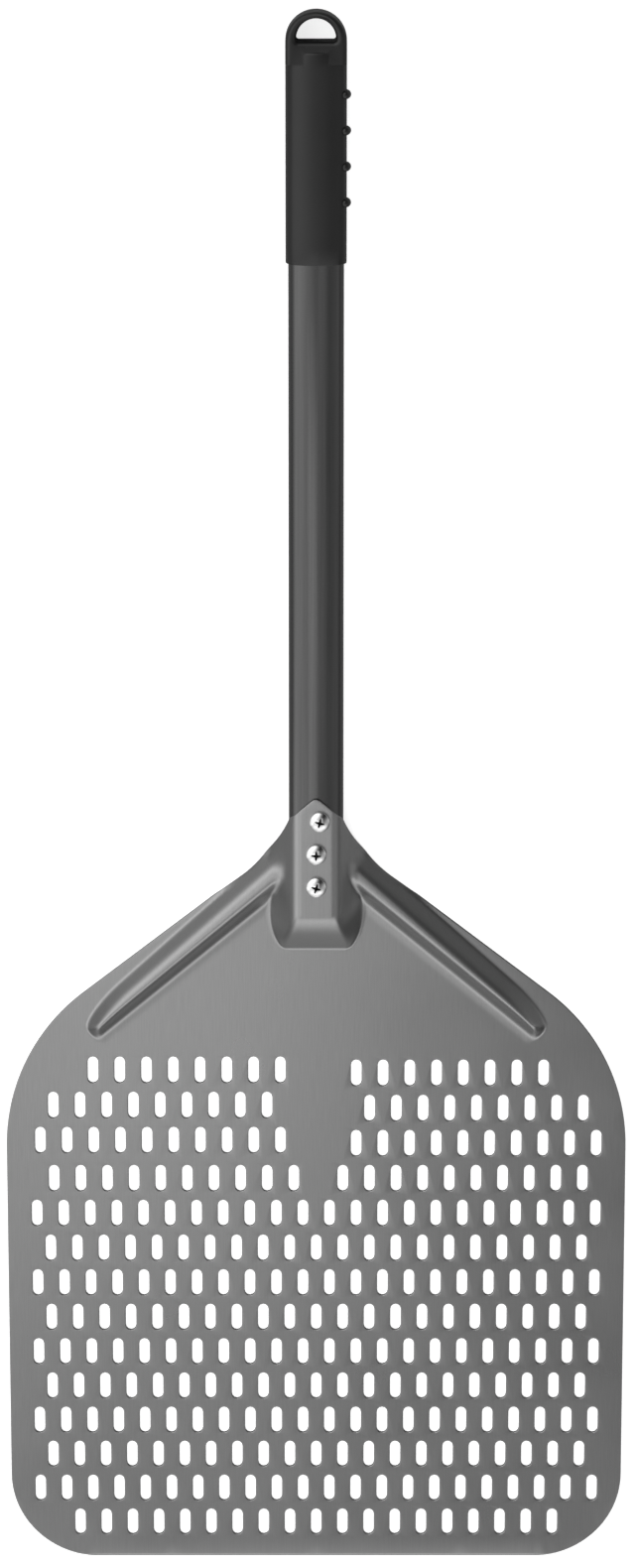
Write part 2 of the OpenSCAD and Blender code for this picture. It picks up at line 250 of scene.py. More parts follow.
def rib_height(x, y):
    """Height of the ribs, for a point on either side."""
    along = np.array([math.cos(rib_slope), -math.sin(rib_slope)])
    out = np.array([math.sin(rib_slope), math.cos(rib_slope)])
    from_x, from_y = np.abs(x) - rib_start[0], y - rib_start[1]
    run = from_x * along[0] + from_y * along[1]
    off = from_x * out[0] + from_y * out[1]
    taper = np.clip((run - rib_taper) / (rib_end + 1 - rib_taper), 0, most_of_arc)
    outer_foot = rib_outer_foot * np.sqrt(1 - taper**2)
    outer = sheet + (outer_foot - off) * rib_outer_rise
    inner_off = off + rib_inner_foot - rib_narrowing * run
    crown = sheet + (inner_off + crown_foot) * rib_inner_crown
    inner = smooth_max(sheet + inner_off * rib_inner_rise, crown, 2.8)
    nose = sheet + (rib_end - run) * rib_nose_rise
    top = rib_top + (rib_end_top - rib_top) * run / rib_end
    ridge = smooth_min(smooth_min(top, outer, rib_round), inner, rib_round)
    return smooth_min(ridge, nose, nose_round)


def upper_face(x, y):
    """Height of the blade's upper face."""
    channel = channel_height(x, y)
    rib = rib_height(x, y)
    flat = np.full_like(x, sheet)
    # The ribs run full into the channel's walls high up, and more sharply at the flat
    height = np.maximum(channel, rib) - sheet
    both = smooth_max(rib, channel, join_round * np.clip(height / 3, 0.5, 1))
    pressed = smooth_max(flat, both, foot_round)
    return np.where(height > -2.5, pressed, sheet)


def upper_normal(x, y):
    step = 0.05
    slope_x = (upper_face(x + step, y) - upper_face(x - step, y)) / (2 * step)
    slope_y = (upper_face(x, y + step) - upper_face(x, y - step)) / (2 * step)
    way = np.stack([-slope_x, -slope_y, np.ones_like(x)], axis=1)
    return way / np.linalg.norm(way, axis=1)[:, None]


# The slots: rows set half a pitch apart in turn, clear of the edges and of the plain patch
slot_w, slot_l = 5.2, 13.6
slot_pitch, row_pitch = 13.15, 18.18
front_row, rear_row = 18.6, 143.4
row_count = int((tip_y - front_y - front_row - rear_row) / row_pitch) + 1
side_plain, rear_plain, front_plain = 11.5, 30, 8
patch_w, patch_l = 36, 72
patch_y = tip_y - rear_row - 21.5
# The rear rows on the left are punched in a second hit, which sits a little off the grid
second_hit_rows = 4
second_hit = (2.1, 1.6)


def slot_cells():
    """The middle of each slot's cell of sheet, with how far off it the slot is punched."""
    shoulder_x = half_blade - shoulder_r
    shoulder_y = (
        tip_y - shoulder_drop
        - (shoulder_x + shoulder_r * math.sin(shoulder_slope)) * math.tan(shoulder_slope)
        - shoulder_r * math.cos(shoulder_slope)
    )
    corner_x, corner_y = half_blade - front_corner_r, front_y + front_corner_r
    cells = []
    for row in range(row_count):
        y = front_y + front_row + row * row_pitch
        from_rear = row_count - 1 - row
        for column in range(-12, 13):
            x = (column + (row % 2) / 2) * slot_pitch
            side = abs(x)
            rear = tip_y - shoulder_drop - side * math.tan(shoulder_slope)
            if side > shoulder_x + shoulder_r * math.sin(shoulder_slope):
                rest = max(shoulder_r**2 - (side - shoulder_x) ** 2, 0)
                rear = shoulder_y + math.sqrt(rest)
            front = front_y
            if side > corner_x:
                front = corner_y - math.sqrt(
                    max(front_corner_r**2 - (side - corner_x) ** 2, 0)
                )
            in_patch = (2 * x / patch_w) ** 2 + (2 * (y - patch_y) / patch_l) ** 2 < 1
            if (
                side + slot_w / 2 > half_blade - side_plain
                or rear - y - slot_l / 2 < rear_plain
                or y - slot_l / 2 - front < front_plain
                or in_patch
            ):
                continue
            off = (0.0, 0.0)
            if x < 0 and from_rear < second_hit_rows:
                off = (second_hit[0], second_hit[1] if from_rear < 3 else 0.0)
            cells.append(((x, y), off))
    return cells


def slot_ring(grow, off):
    """Points round a slot, grown outwards, anticlockwise."""
    radius = slot_w / 2 + grow
    mid = (slot_l - slot_w) / 2
    ring = []
    for end, start in ((1, 0), (-1, 180)):
        for a in np.radians(np.linspace(start, start + 180, 7)):
            ring.append((off[0] + radius * math.cos(a),
                         off[1] + end * mid + radius * math.sin(a)))
    return ring


def slot_cell_mesh(name, off):
    """One cell of sheet round one punched slot, its upper edge drawn in and rounded."""
    half_x, half_y = slot_pitch / 2, row_pitch / 2
    frame_2d = [(-half_x, -half_y), (0, -half_y), (half_x, -half_y),
                (half_x, half_y), (0, half_y), (-half_x, half_y)]
    roll = 0.4
    rings = [(roll, sheet), (0.29 * roll, sheet - 0.29 * roll), (0, sheet - roll),
             (0, 0.12), (0.12, 0)]
    points = [(x, y, sheet) for x, y in frame_2d] + [(x, y, 0) for x, y in frame_2d]
    first = len(points)
    for grow, z in rings:
        points += [(x, y, z) for x, y in slot_ring(grow, off)]
    count = 14

    def ring_start(i):
        return first + i * count

    faces = []
    for i in range(len(rings) - 1):
        faces += band(ring_start(i), ring_start(i + 1), count)
    for level, start, ring in ((0, 0, 0), (1, 6, len(rings) - 1)):
        outer = [Vector(points[start + j]) for j in range(6)]
        inner = [Vector(points[ring_start(ring) + j]) for j in range(count)]
        index = [start + j for j in range(6)] + [ring_start(ring) + j for j in range(count)]
        for tri in tessellate_polygon([outer, inner]):
            a, b, c = (index[t] for t in tri)
            pa, pb, pc = (Vector(points[t]) for t in (a, b, c))
            up = (pb - pa).cross(pc - pa).z > 0
            faces.append((a, b, c) if up == (level == 0) else (a, c, b))
    return new_mesh(name, points, faces, smooth=False)


def cell_rim(cells):
    """Points and edges round the outside of all the cells together."""
    half_x, half_y = slot_pitch / 2, row_pitch / 2
    uses = {}
    for (x, y), _ in cells:
        around = [(x - half_x, y - half_y), (x, y - half_y), (x + half_x, y - half_y),
                  (x + half_x, y + half_y), (x, y + half_y), (x - half_x, y + half_y)]
        around = [(round(a, 3), round(b, 3)) for a, b in around]
        for a, b in zip(around, around[1:] + around[:1]):
            key = (min(a, b), max(a, b))
            uses[key] = uses.get(key, 0) + 1
    edges = [key for key, n in uses.items() if n == 1]
    points = sorted({p for edge in edges for p in edge})
    place = {p: i for i, p in enumerate(points)}
    return points, [(place[a], place[b]) for a, b in edges]


def pressed_grid(step):
    """Points in a triangular grid over what is pressed up, and a little past its feet."""
    rows = []
    y = ramp_foot - 60
    odd = False
    while y < tip_y:
        x = np.arange(-half_blade + (step / 2 if odd else 0), half_blade, step)
        rows.append(np.stack([x, np.full_like(x, y)], axis=1))
        y += step * math.sqrt(3) / 2
        odd = not odd
    grid = np.concatenate(rows)
    height = np.maximum(channel_height(grid[:, 0], grid[:, 1]),
                        rib_height(grid[:, 0], grid[:, 1]))
    return grid[height > sheet - 2.6]


def inside_edges(points, starts, ends):
    """Whether each point is inside the closed loops that the edges make up."""
    x, y = points[:, 0], points[:, 1]
    inside = np.zeros(len(points), bool)
    for (x1, y1), (x2, y2) in zip(starts, ends):
        if y1 == y2:
            continue
        crosses = (y1 > y) != (y2 > y)
        inside ^= crosses & (x < x1 + (y - y1) * (x2 - x1) / (y2 - y1))
    return inside


def inside_loop(points, loop):
    return inside_edges(points, loop, np.roll(loop, -1, axis=0))


def plain_sheet(cells):
    """The pressed sheet round the cells: its two faces and its outer edge."""
    outline, ways = blade_outline()
    roll = 0.4
    bevel_width, bevel_depth = 1.6, 1.0
    corner_x = half_blade - front_corner_r
    # The bevel runs along the front edge and dies away into its corners
    fade = np.clip(1 - (np.abs(outline[:, 0]) - corner_x) / 11, 0, 1)
    bevel = np.where(outline[:, 1] < front_y + 2, fade, 0)
    inset = roll + (bevel_width - roll) * bevel
    loop = outline - ways * inset[:, None]
    count = len(loop)

    rim_points, rim_edges = cell_rim(cells)
    grid = pressed_grid(1.0)
    grid = grid[inside_loop(grid, outline - ways * 1.1)]
    points_2d = [Vector(p) for p in loop] + [Vector(p) for p in rim_points]
    edges = [(i, (i + 1) % count) for i in range(count)]
    edges += [(a + count, b + count) for a, b in rim_edges]
    points_2d += [Vector(p) for p in grid]
    found, _, triangles, *_ = delaunay_2d_cdt(points_2d, edges, [], 0, 1e-6)
    flat = np.array([tuple(p) for p in found])
    triangles = np.array([t for t in triangles if len(t) == 3])
    middle = flat[triangles].mean(axis=1)
    rim = np.array(rim_points)[np.array(rim_edges)]
    keep = inside_loop(middle, loop) & ~inside_edges(middle, rim[:, 0], rim[:, 1])
    triangles = triangles[keep]
    a, b, c = (flat[triangles[:, i]] for i in range(3))
    ab, ac = b - a, c - a
    turn = ab[:, 0] * ac[:, 1] - ab[:, 1] * ac[:, 0]
    triangles[turn < 0] = triangles[turn < 0][:, ::-1]

    x, y = flat[:, 0], flat[:, 1]
    normal = upper_normal(x, y)
    top = np.column_stack([x, y, upper_face(x, y)])
    bottom = top - normal * sheet
    n = len(top)
    faces = [tuple(t) for t in triangles] + [tuple(t[::-1] + n) for t in triangles]

    # The outer edge, rolled over above and below, or bevelled above
    out = np.column_stack([ways, np.zeros(count)])
    rim_normal = normal[:count]
    out -= (out * rim_normal).sum(axis=1)[:, None] * rim_normal
    out /= np.linalg.norm(out, axis=1)[:, None]
    b = bevel[:, None]
    steps = [
        (roll - 0.29 * roll + b * 0.65, 0.29 * roll + b * 0.55),
        (roll + b * (bevel_width - roll), roll + b * (bevel_depth - roll)),
        (roll + b * (bevel_width - roll), sheet - roll + b * 0.15),
        (roll - 0.29 * roll + b * (bevel_width - roll), sheet - 0.29 * roll + b * 0.1),
        (b * (bevel_width - roll), sheet + 0 * b),
    ]
    rows = [top[:count] + out * go - rim_normal * down for go, down in steps]
    starts = [0] + [2 * n + i * count for i in range(len(rows))] + [n]
    for upper, lower in zip(starts, starts[1:]):
        for j in range(count):
            k = (j + 1) % count
            faces.append((upper + k, upper + j, lower + j, lower + k))
    return np.concatenate([top, bottom] + rows), faces


def face_outwards(piece):
    """Turns every face of a closed piece outwards."""
    work = bmesh.new()
    work.from_mesh(piece.data)
    bmesh.ops.recalc_face_normals(work, faces=work.faces)
    work.to_mesh(piece.data)
    work.free()


def add_node(tree, kind, inputs=None, **settings):
    """Adds a node with its settings, then its input values or links."""
    node = tree.nodes.new(kind)
    for name, value in settings.items():
        setattr(node, name, value)
    for name, value in (inputs or {}).items():
        socket = node.inputs[name]
        if isinstance(value, bpy.types.NodeSocket):
            tree.links.new(value, socket)
        else:
            socket.default_value = value
    return node


def new_tree(name, inputs):
    """A Geometry Nodes tree with named inputs, and its start and end."""
    tree = bpy.data.node_groups.new(name, "GeometryNodeTree")
    face = tree.interface
    for label, kind in [("Geometry", "Geometry"), *inputs]:
        face.new_socket(label, in_out="INPUT", socket_type=f"NodeSocket{kind}")
    face.new_socket("Geometry", in_out="OUTPUT", socket_type="NodeSocketGeometry")
    return tree, tree.nodes.new("NodeGroupInput"), tree.nodes.new("NodeGroupOutput")


def perforated_tree(kinds):
    """Puts each kind of slot cell at its places, and welds the cells and the sheet round
    them into one."""
    places_and_cells = [(f"{label} {i}", "Object") for i in range(kinds)
                        for label in ("Places", "Cell")]
    tree, start, end = new_tree("punched_slots", [
        *places_and_cells, ("Weld distance", "Float"), ("Material", "Material")])
    join = add_node(tree, "GeometryNodeJoinGeometry", {"Geometry": start.outputs["Geometry"]})
    for i in range(kinds):
        places = add_node(tree, "GeometryNodeObjectInfo", {
            "Object": start.outputs[f"Places {i}"]})
        cell = add_node(tree, "GeometryNodeObjectInfo", {
            "Object": start.outputs[f"Cell {i}"]})
        put = add_node(tree, "GeometryNodeInstanceOnPoints", {
            "Points": places.outputs["Geometry"], "Instance": cell.outputs["Geometry"]})
        tree.links.new(put.outputs["Instances"], join.inputs["Geometry"])
    real = add_node(tree, "GeometryNodeRealizeInstances", {
        "Geometry": join.outputs["Geometry"]})
    weld = add_node(tree, "GeometryNodeMergeByDistance", {
        "Geometry": real.outputs["Geometry"], "Distance": start.outputs["Weld distance"]})
    coat = add_node(tree, "GeometryNodeSetMaterial", {
        "Geometry": weld.outputs["Geometry"], "Material": start.outputs["Material"]})
    tree.links.new(coat.outputs["Geometry"], end.inputs["Geometry"])
    return tree


def set_inputs(modifier, values):
    """Sets a Geometry Nodes modifier's inputs, which it knows by identifier."""
    for item in modifier.node_group.interface.items_tree:
        if item.item_type == "SOCKET" and item.in_out == "INPUT" and item.name in values:
            modifier[item.identifier] = values[item.name]


def linear(colour):
    """An sRGB hex colour as linear RGBA."""
    parts = [int(colour[i : i + 2], 16) / 255 for i in (1, 3, 5)]
    parts = [c / 12.92 if c <= 0.04045 else ((c + 0.055) / 1.055) ** 2.4 for c in parts]
    return (*parts, 1.0)


def new_material(name):
    """An empty material, its tree and its surface shader."""
    material = bpy.data.materials.new(name)
    material.use_nodes = True
    tree = material.node_tree
    tree.nodes.clear()
    shader = tree.nodes.new("ShaderNodeBsdfPrincipled")
    output = tree.nodes.new("ShaderNodeOutputMaterial")
    tree.links.new(shader.outputs["BSDF"], output.inputs["Surface"])
    return material, tree, shader


def vary_finish(tree, shader, tint_by, colours, rough_by, rough, grain, bump,
                tint_range=(0.3, 0.7)):
    """Lets noise vary a shader's colour and its roughness, and raises its grain. The bump is
    its strength and its height in millimetres."""
    tint = add_node(tree, "ShaderNodeMapRange", {
        "Value": tint_by.outputs["Fac"], "From Min": tint_range[0],
        "From Max": tint_range[1]})
    colour = add_node(tree, "ShaderNodeMix", {
        "Factor": tint.outputs["Result"], "A": linear(colours[0]), "B": linear(colours[1])},
        data_type="RGBA")
    uneven = add_node(tree, "ShaderNodeMapRange", {
        "Value": rough_by.outputs["Fac"], "From Min": 0.3, "From Max": 0.7,
        "To Min": rough[0], "To Max": rough[1]})
    raised = add_node(tree, "ShaderNodeBump", {
        "Height": grain.outputs["Fac"], "Strength": bump[0], "Distance": bump[1] * MM})
    tree.links.new(colour.outputs["Result"], shader.inputs["Base Color"])
    tree.links.new(uneven.outputs["Result"], shader.inputs["Roughness"])
    tree.links.new(raised.outputs["Normal"], shader.inputs["Normal"])


def anodised_sheet():
    """Hard-anodised aluminium sheet. Rolling and etching leave a fine grain along the sheet,
    and the oxide is a satin grey that is a little uneven."""
    material, tree, shader = new_material("anodised_aluminium_sheet")
    where = add_node(tree, "ShaderNodeTexCoord")
    along = add_node(tree, "ShaderNodeMapping", {
        "Vector": where.outputs["Object"], "Scale": (1.0, 0.04, 1.0)})
    # Rolling grain is a few hundredths of a millimetre wide; it is drawn at 0.6 mm to show
    grain = add_node(tree, "ShaderNodeTexNoise", {
        "Vector": along.outputs["Vector"], "Scale": 1 / (0.6 * MM), "Detail": 4.0,
        "Roughness": 0.6})
    cloud = add_node(tree, "ShaderNodeTexNoise", {
        "Vector": where.outputs["Object"], "Scale": 1 / (60 * MM), "Detail": 2.0})
    vary_finish(tree, shader, grain, ("#929292", "#9a9a9a"), cloud, (0.27, 0.32), grain,
                (0.06, 0.02), tint_range=(0.25, 0.75))
    shader.inputs["Metallic"].default_value = 1.0
    return material


def punch_and_weld(cells, material):
    """The whole blade as one closed mesh."""
    offs = sorted({off for _, off in cells})
    points, faces = plain_sheet(cells)
    blade = new_mesh("blade_sheet", points, faces, smooth=False)
    values = {"Weld distance": 0.01 * MM, "Material": material}
    helpers = []
    for i, off in enumerate(offs):
        places = new_mesh(f"places_{i}", [(*p, 0) for p, o in cells if o == off], [], False)
        cell = slot_cell_mesh(f"cell_{i}", off)
        values[f"Places {i}"], values[f"Cell {i}"] = places, cell
        helpers += [places, cell]
    punched = blade.modifiers.new("punched_slots", "NODES")
    punched.node_group = perforated_tree(len(offs))
    set_inputs(punched, values)
    baked(blade)
    for helper in helpers:
        bpy.data.objects.remove(helper)
    face_outwards(blade)
    shade(blade.data, 50)
    weigh = blade.modifiers.new("even_normals", "WEIGHTED_NORMAL")
    weigh.keep_sharp = True
    weigh.weight = 100
    return baked(blade)


blade = punch_and_weld(slot_cells(), anodised_sheet())
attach(blade, "root")
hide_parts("blade")


# ---------------------------------------------------------------------------
# Tube
# Extruded aluminium of flat oval section, anodised and dyed dark grey. Its lower end lies in
# the blade's channel, where the three screws hold it, and the grip is pushed over the other.
# ---------------------------------------------------------------------------
tube_half_w = tube_high[0]
tube_half_h = (tube_high[2] - tube_low[2]) / 2
tube_mid_z = (tube_high[2] + tube_low[2]) / 2
tube_side_r = 6.0
tube_wall = 1.5


def oval(grow, side_steps=26, crown_steps=22):
    """Points round the tube's section of four arcs, grown outwards."""
    side_x = tube_half_w - tube_side_r
    crown_r = (side_x**2 + tube_half_h**2 - tube_side_r**2) / (
        2 * (tube_half_h - tube_side_r)
    )
    drop = crown_r - tube_half_h
    half = math.degrees(math.atan2(side_x, drop))
    arcs = [
        ((side_x, 0), tube_side_r, half - 90, 90 - half, side_steps),
        ((0, -drop), crown_r, 90 - half, 90 + half, crown_steps),
        ((-side_x, 0), tube_side_r, 90 + half, 270 - half, side_steps),
        ((0, drop), crown_r, 270 - half, 270 + half, crown_steps),
    ]
    ring = []
    for (x, z), radius, start, end, steps in arcs:
        for a in np.radians(np.linspace(start, end, steps, endpoint=False)):
            ring.append((x + (radius + grow) * math.cos(a),
                         tube_mid_z + z + (radius + grow) * math.sin(a)))
    return ring


def oval_shell(name, rings, closed):
    """A shell through ovals given as growth and place along the tube. It is either closed
    round from the last to the first, or capped at both."""
    points, faces = [], []
    for grow, y in rings:
        points += [(x, y, z) for x, z in oval(grow)]
    size = len(points) // len(rings)
    last = len(rings) if closed else len(rings) - 1
    for i in range(last):
        faces += band(i * size, (i + 1) % len(rings) * size, size)
    if not closed:
        end = (len(rings) - 1) * size
        faces += [tuple(range(size))[::-1], tuple(range(end, end + size))]
    piece = new_mesh(name, points, faces)
    face_outwards(piece)
    return piece


def anodised_tube():
    """Anodised extrusion, dyed dark grey. The die leaves faint lines along the tube, and the
    dye gives a satin metal whose lights are soft bands."""
    material, tree, shader = new_material("anodised_aluminium_tube")
    where = add_node(tree, "ShaderNodeTexCoord")
    along = add_node(tree, "ShaderNodeMapping", {
        "Vector": where.outputs["Object"], "Scale": (1.0, 0.01, 1.0)})
    # Die lines are near 0.1 mm apart; they are drawn at 0.7 mm to show
    lines = add_node(tree, "ShaderNodeTexNoise", {
        "Vector": along.outputs["Vector"], "Scale": 1 / (0.7 * MM), "Detail": 3.0})
    cloud = add_node(tree, "ShaderNodeTexNoise", {
        "Vector": where.outputs["Object"], "Scale": 1 / (45 * MM), "Detail": 3.0})
    vary_finish(tree, shader, lines, ("#5a5a5a", "#616161"), cloud, (0.21, 0.25), lines,
                (0.05, 0.02))
    shader.inputs["Metallic"].default_value = 1.0
    return material


tube_ends = (tube_low[1], tube_high[1])
edge = 0.2
tube = oval_shell("oval_tube", [
    (-edge, tube_ends[0]), (0, tube_ends[0] + edge),
    (0, tube_ends[1] - edge), (-edge, tube_ends[1]),
    (edge - tube_wall, tube_ends[1]), (-tube_wall, tube_ends[1] - edge),
    (-tube_wall, tube_ends[0] + edge), (edge - tube_wall, tube_ends[0]),
], closed=True)
tube.data.materials.append(anodised_tube())
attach(tube, "root")
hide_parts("tube")


# ---------------------------------------------------------------------------
# Grip
# Moulded in one piece of black plastic, with a finely textured skin: a sleeve over the tube,
# four finger ridges on one side, and a flat loop to hang the peel by.
# ---------------------------------------------------------------------------
grip_low, grip_high = box_mm("grip")
grip_wall = -grip_low[0] - tube_half_w
step_y = grip_high[1] - 18.7
loop_half_t = 8.0
loop_edge_r = 2.4
loop_half_w = -grip_low[0]
hole_r = 9.3
hole_mid_y = grip_high[1] - 12.5
hole_floor_y = hole_mid_y - 1.5
hole_corner_r = 1.2
ridge_count, ridge_pitch = 4, 17.0
first_ridge_y = grip_high[1] - 39.3
ridge_r, ridge_half_h = 2.05, 5.0


def rounded_plate(name, loops, mid_z, half_t, edge_r):
    """A plate between an outer loop and a hole, its edges rounded over. Each loop is points
    and the direction out of the solid at each."""
    steps = np.radians(np.linspace(90, 0, 7))
    inset = [points - ways * edge_r for points, ways in loops]
    points_2d = [Vector(p) for ring in inset for p in ring]
    edges, starts = [], []
    for ring in inset:
        first = starts[-1] + len(last_ring) if starts else 0
        starts.append(first)
        last_ring = ring
        edges += [(first + i, first + (i + 1) % len(ring)) for i in range(len(ring))]
    found, _, triangles, *_ = delaunay_2d_cdt(points_2d, edges, [], 0, 1e-6)
    flat = np.array([tuple(p) for p in found])
    triangles = np.array([t for t in triangles if len(t) == 3])
    middle = flat[triangles].mean(axis=1)
    keep = inside_loop(middle, inset[0]) & ~inside_loop(middle, inset[1])
    triangles = triangles[keep]
    n = len(flat)
    points = [np.column_stack([flat, np.full(n, mid_z + half_t)]),
              np.column_stack([flat, np.full(n, mid_z - half_t)])]
    faces = [tuple(t) for t in triangles] + [tuple(t[::-1] + n) for t in triangles]
    filled = 2 * n
    for (ring, ways), core, first in zip(loops, inset, starts):
        size = len(ring)
        rows = [first]
        sides = [(a, 1) for a in steps[1:]] + [(a, -1) for a in steps[::-1][:-1]]
        for a, side in sides:
            out = core + ways * edge_r * math.cos(a)
            z = mid_z + side * (half_t - edge_r + edge_r * math.sin(a))
            points.append(np.column_stack([out, np.full(size, z)]))
            rows.append(filled)
            filled += size
        rows.append(n + first)
        for upper, lower in zip(rows, rows[1:]):
            faces += band(upper, lower, size)
    piece = new_mesh(name, np.concatenate(points), faces)
    face_outwards(piece)
    return piece


def hanging_loop():
    """The loop: a thick plate with a round end and a D-shaped hole."""
    mid = np.array([0, grip_high[1] - loop_half_w])
    root = step_y - 6
    outer = [((loop_half_w * c, mid[1] + loop_half_w * s), (c, s))
             for c, s in ((math.cos(a), math.sin(a))
                          for a in np.radians(np.linspace(0, 180, 49)))]
    outer += [((-loop_half_w, root), (-1, 0)), ((loop_half_w, root), (1, 0))]
    hole = [((hole_r * c, hole_mid_y + hole_r * s), (-c, -s))
            for c, s in ((math.cos(a), math.sin(a))
                         for a in np.radians(np.linspace(0, 180, 41)))]
    inner_x = hole_r - hole_corner_r
    for x, start in ((-inner_x, 180), (inner_x, 270)):
        for a in np.radians(np.linspace(start, start + 90, 6)):
            hole.append(((x + hole_corner_r * math.cos(a),
                          hole_floor_y + hole_corner_r + hole_corner_r * math.sin(a)),
                         (-math.cos(a), -math.sin(a))))
    loops = [(np.array([p for p, _ in loop]), np.array([w for _, w in loop], float))
             for loop in (outer, hole)]
    return rounded_plate("hanging_loop", loops, tube_mid_z, loop_half_t, loop_edge_r)


def finger_ridge():
    """One ridge, bent round the side of the sleeve, with rounded ends."""
    side_x, bend_r = tube_half_w - tube_side_r, tube_side_r + grip_wall
    reach = math.asin((ridge_half_h - 0.8 * ridge_r) / bend_r)
    stations = [(-reach, -math.sin(a), math.cos(a)) for a in np.radians([80, 60, 40, 20])]
    stations += [(a, 0, 1) for a in np.linspace(-reach, reach, 9)]
    stations += [(reach, math.sin(a), math.cos(a)) for a in np.radians([20, 40, 60, 80])]
    points, faces, size = [], [], 18
    for a, beyond, part in stations:
        mid_x = side_x + bend_r * math.cos(a) - beyond * ridge_r * math.sin(a)
        mid_z = tube_mid_z + bend_r * math.sin(a) + beyond * ridge_r * math.cos(a)
        for t in np.linspace(0, 2 * math.pi, size, endpoint=False):
            out = ridge_r * part * math.cos(t)
            points.append((mid_x + out * math.cos(a), ridge_r * part * math.sin(t),
                           mid_z + out * math.sin(a)))
    for i in range(len(stations) - 1):
        faces += band(i * size, (i + 1) * size, size)
    end = (len(stations) - 1) * size
    faces += [tuple(range(size)), tuple(range(end, end + size))]
    piece = new_mesh("finger_ridge", points, faces)
    face_outwards(piece)
    return piece


def grip_tree():
    """Joins the sleeve, the loop and a row of ridges into one solid."""
    tree, start, end = new_tree("moulded_grip", [
        ("Loop", "Object"), ("Ridge", "Object"), ("Ridge count", "Int"),
        ("First ridge", "Vector"), ("Ridge pitch", "Vector"), ("Material", "Material")])
    loop = add_node(tree, "GeometryNodeObjectInfo", {"Object": start.outputs["Loop"]})
    ridge = add_node(tree, "GeometryNodeObjectInfo", {"Object": start.outputs["Ridge"]})
    row = add_node(tree, "GeometryNodeMeshLine", {
        "Count": start.outputs["Ridge count"], "Start Location": start.outputs["First ridge"],
        "Offset": start.outputs["Ridge pitch"]})
    put = add_node(tree, "GeometryNodeInstanceOnPoints", {
        "Points": row.outputs["Mesh"], "Instance": ridge.outputs["Geometry"]})
    real = add_node(tree, "GeometryNodeRealizeInstances", {
        "Geometry": put.outputs["Instances"]})
    union = add_node(tree, "GeometryNodeMeshBoolean", operation="UNION", solver="EXACT")
    for part in (start, loop, real):
        tree.links.new(part.outputs["Geometry"], union.inputs["Mesh 2"])
    coat = add_node(tree, "GeometryNodeSetMaterial", {
        "Geometry": union.outputs["Mesh"], "Material": start.outputs["Material"]})
    tree.links.new(coat.outputs["Geometry"], end.inputs["Geometry"])
    return tree


def moulded_plastic(name, dark, light, rough):
    """Black moulded polypropylene. The mould is spark-eroded, which leaves a fine even
    texture, so its lights are broad and dull."""
    material, tree, shader = new_material(name)
    where = add_node(tree, "ShaderNodeTexCoord")
    # The texture's grain is near 0.05 mm; it is drawn at 0.5 mm to show
    grain = add_node(tree, "ShaderNodeTexNoise", {
        "Vector": where.outputs["Object"], "Scale": 1 / (0.5 * MM), "Detail": 3.0,
        "Roughness": 0.65})
    cloud = add_node(tree, "ShaderNodeTexNoise", {
        "Vector": where.outputs["Object"], "Scale": 1 / (25 * MM), "Detail": 2.0})
    vary_finish(tree, shader, cloud, (dark, light), grain, (rough - 0.04, rough + 0.04),
                grain, (0.25, 0.05))
    shader.inputs["IOR"].default_value = 1.49
    return material


def mould_grip():
    """The whole grip as one closed mesh."""
    lip, shoulder = 0.6, 1.5
    slope = 1 - math.sqrt(0.5)
    y0 = grip_low[1]
    sleeve = oval_shell("moulded_grip", [
        (0.05, tube_ends[1] + 0.1), (0.05, y0 + 0.25), (0.3, y0), (grip_wall - lip, y0),
        (grip_wall - slope * lip, y0 + slope * lip), (grip_wall, y0 + lip),
        (grip_wall, y0 + 8), (grip_wall, step_y - 8), (grip_wall, step_y - shoulder),
        (grip_wall - 0.13 * shoulder, step_y - 0.5 * shoulder),
        (grip_wall - slope * shoulder, step_y - slope * shoulder),
        (grip_wall - 0.5 * shoulder, step_y - 0.13 * shoulder),
        (grip_wall - shoulder, step_y),
    ], closed=False)
    loop, ridge = hanging_loop(), finger_ridge()
    mould = sleeve.modifiers.new("moulded_grip", "NODES")
    mould.node_group = grip_tree()
    set_inputs(mould, {
        "Loop": loop, "Ridge": ridge, "Ridge count": ridge_count,
        "First ridge": (0, first_ridge_y * MM, 0),
        "Ridge pitch": (0, -ridge_pitch * MM, 0),
        "Material": moulded_plastic("moulded_polypropylene", "#141414", "#191919", 0.38),
    })
    baked(sleeve)
    for helper in (loop, ridge):
        bpy.data.objects.remove(helper)
    shade(sleeve.data, 32)
    return sleeve


grip = mould_grip()
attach(grip, "root")
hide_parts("grip")


# ---------------------------------------------------------------------------
# Screws
# Three M5 pan-head screws of nickel-plated steel with a cross recess. They pass through the
# channel and the tube's wall into nuts inside it.
# ---------------------------------------------------------------------------
head_r, head_h, dome_r = 5.0, 3.7, 8.0
head_edge_r = 0.8
thread_r = 2.5
recess_half_w, recess_half_arm, recess_depth = 2.45, 0.62, 2.2


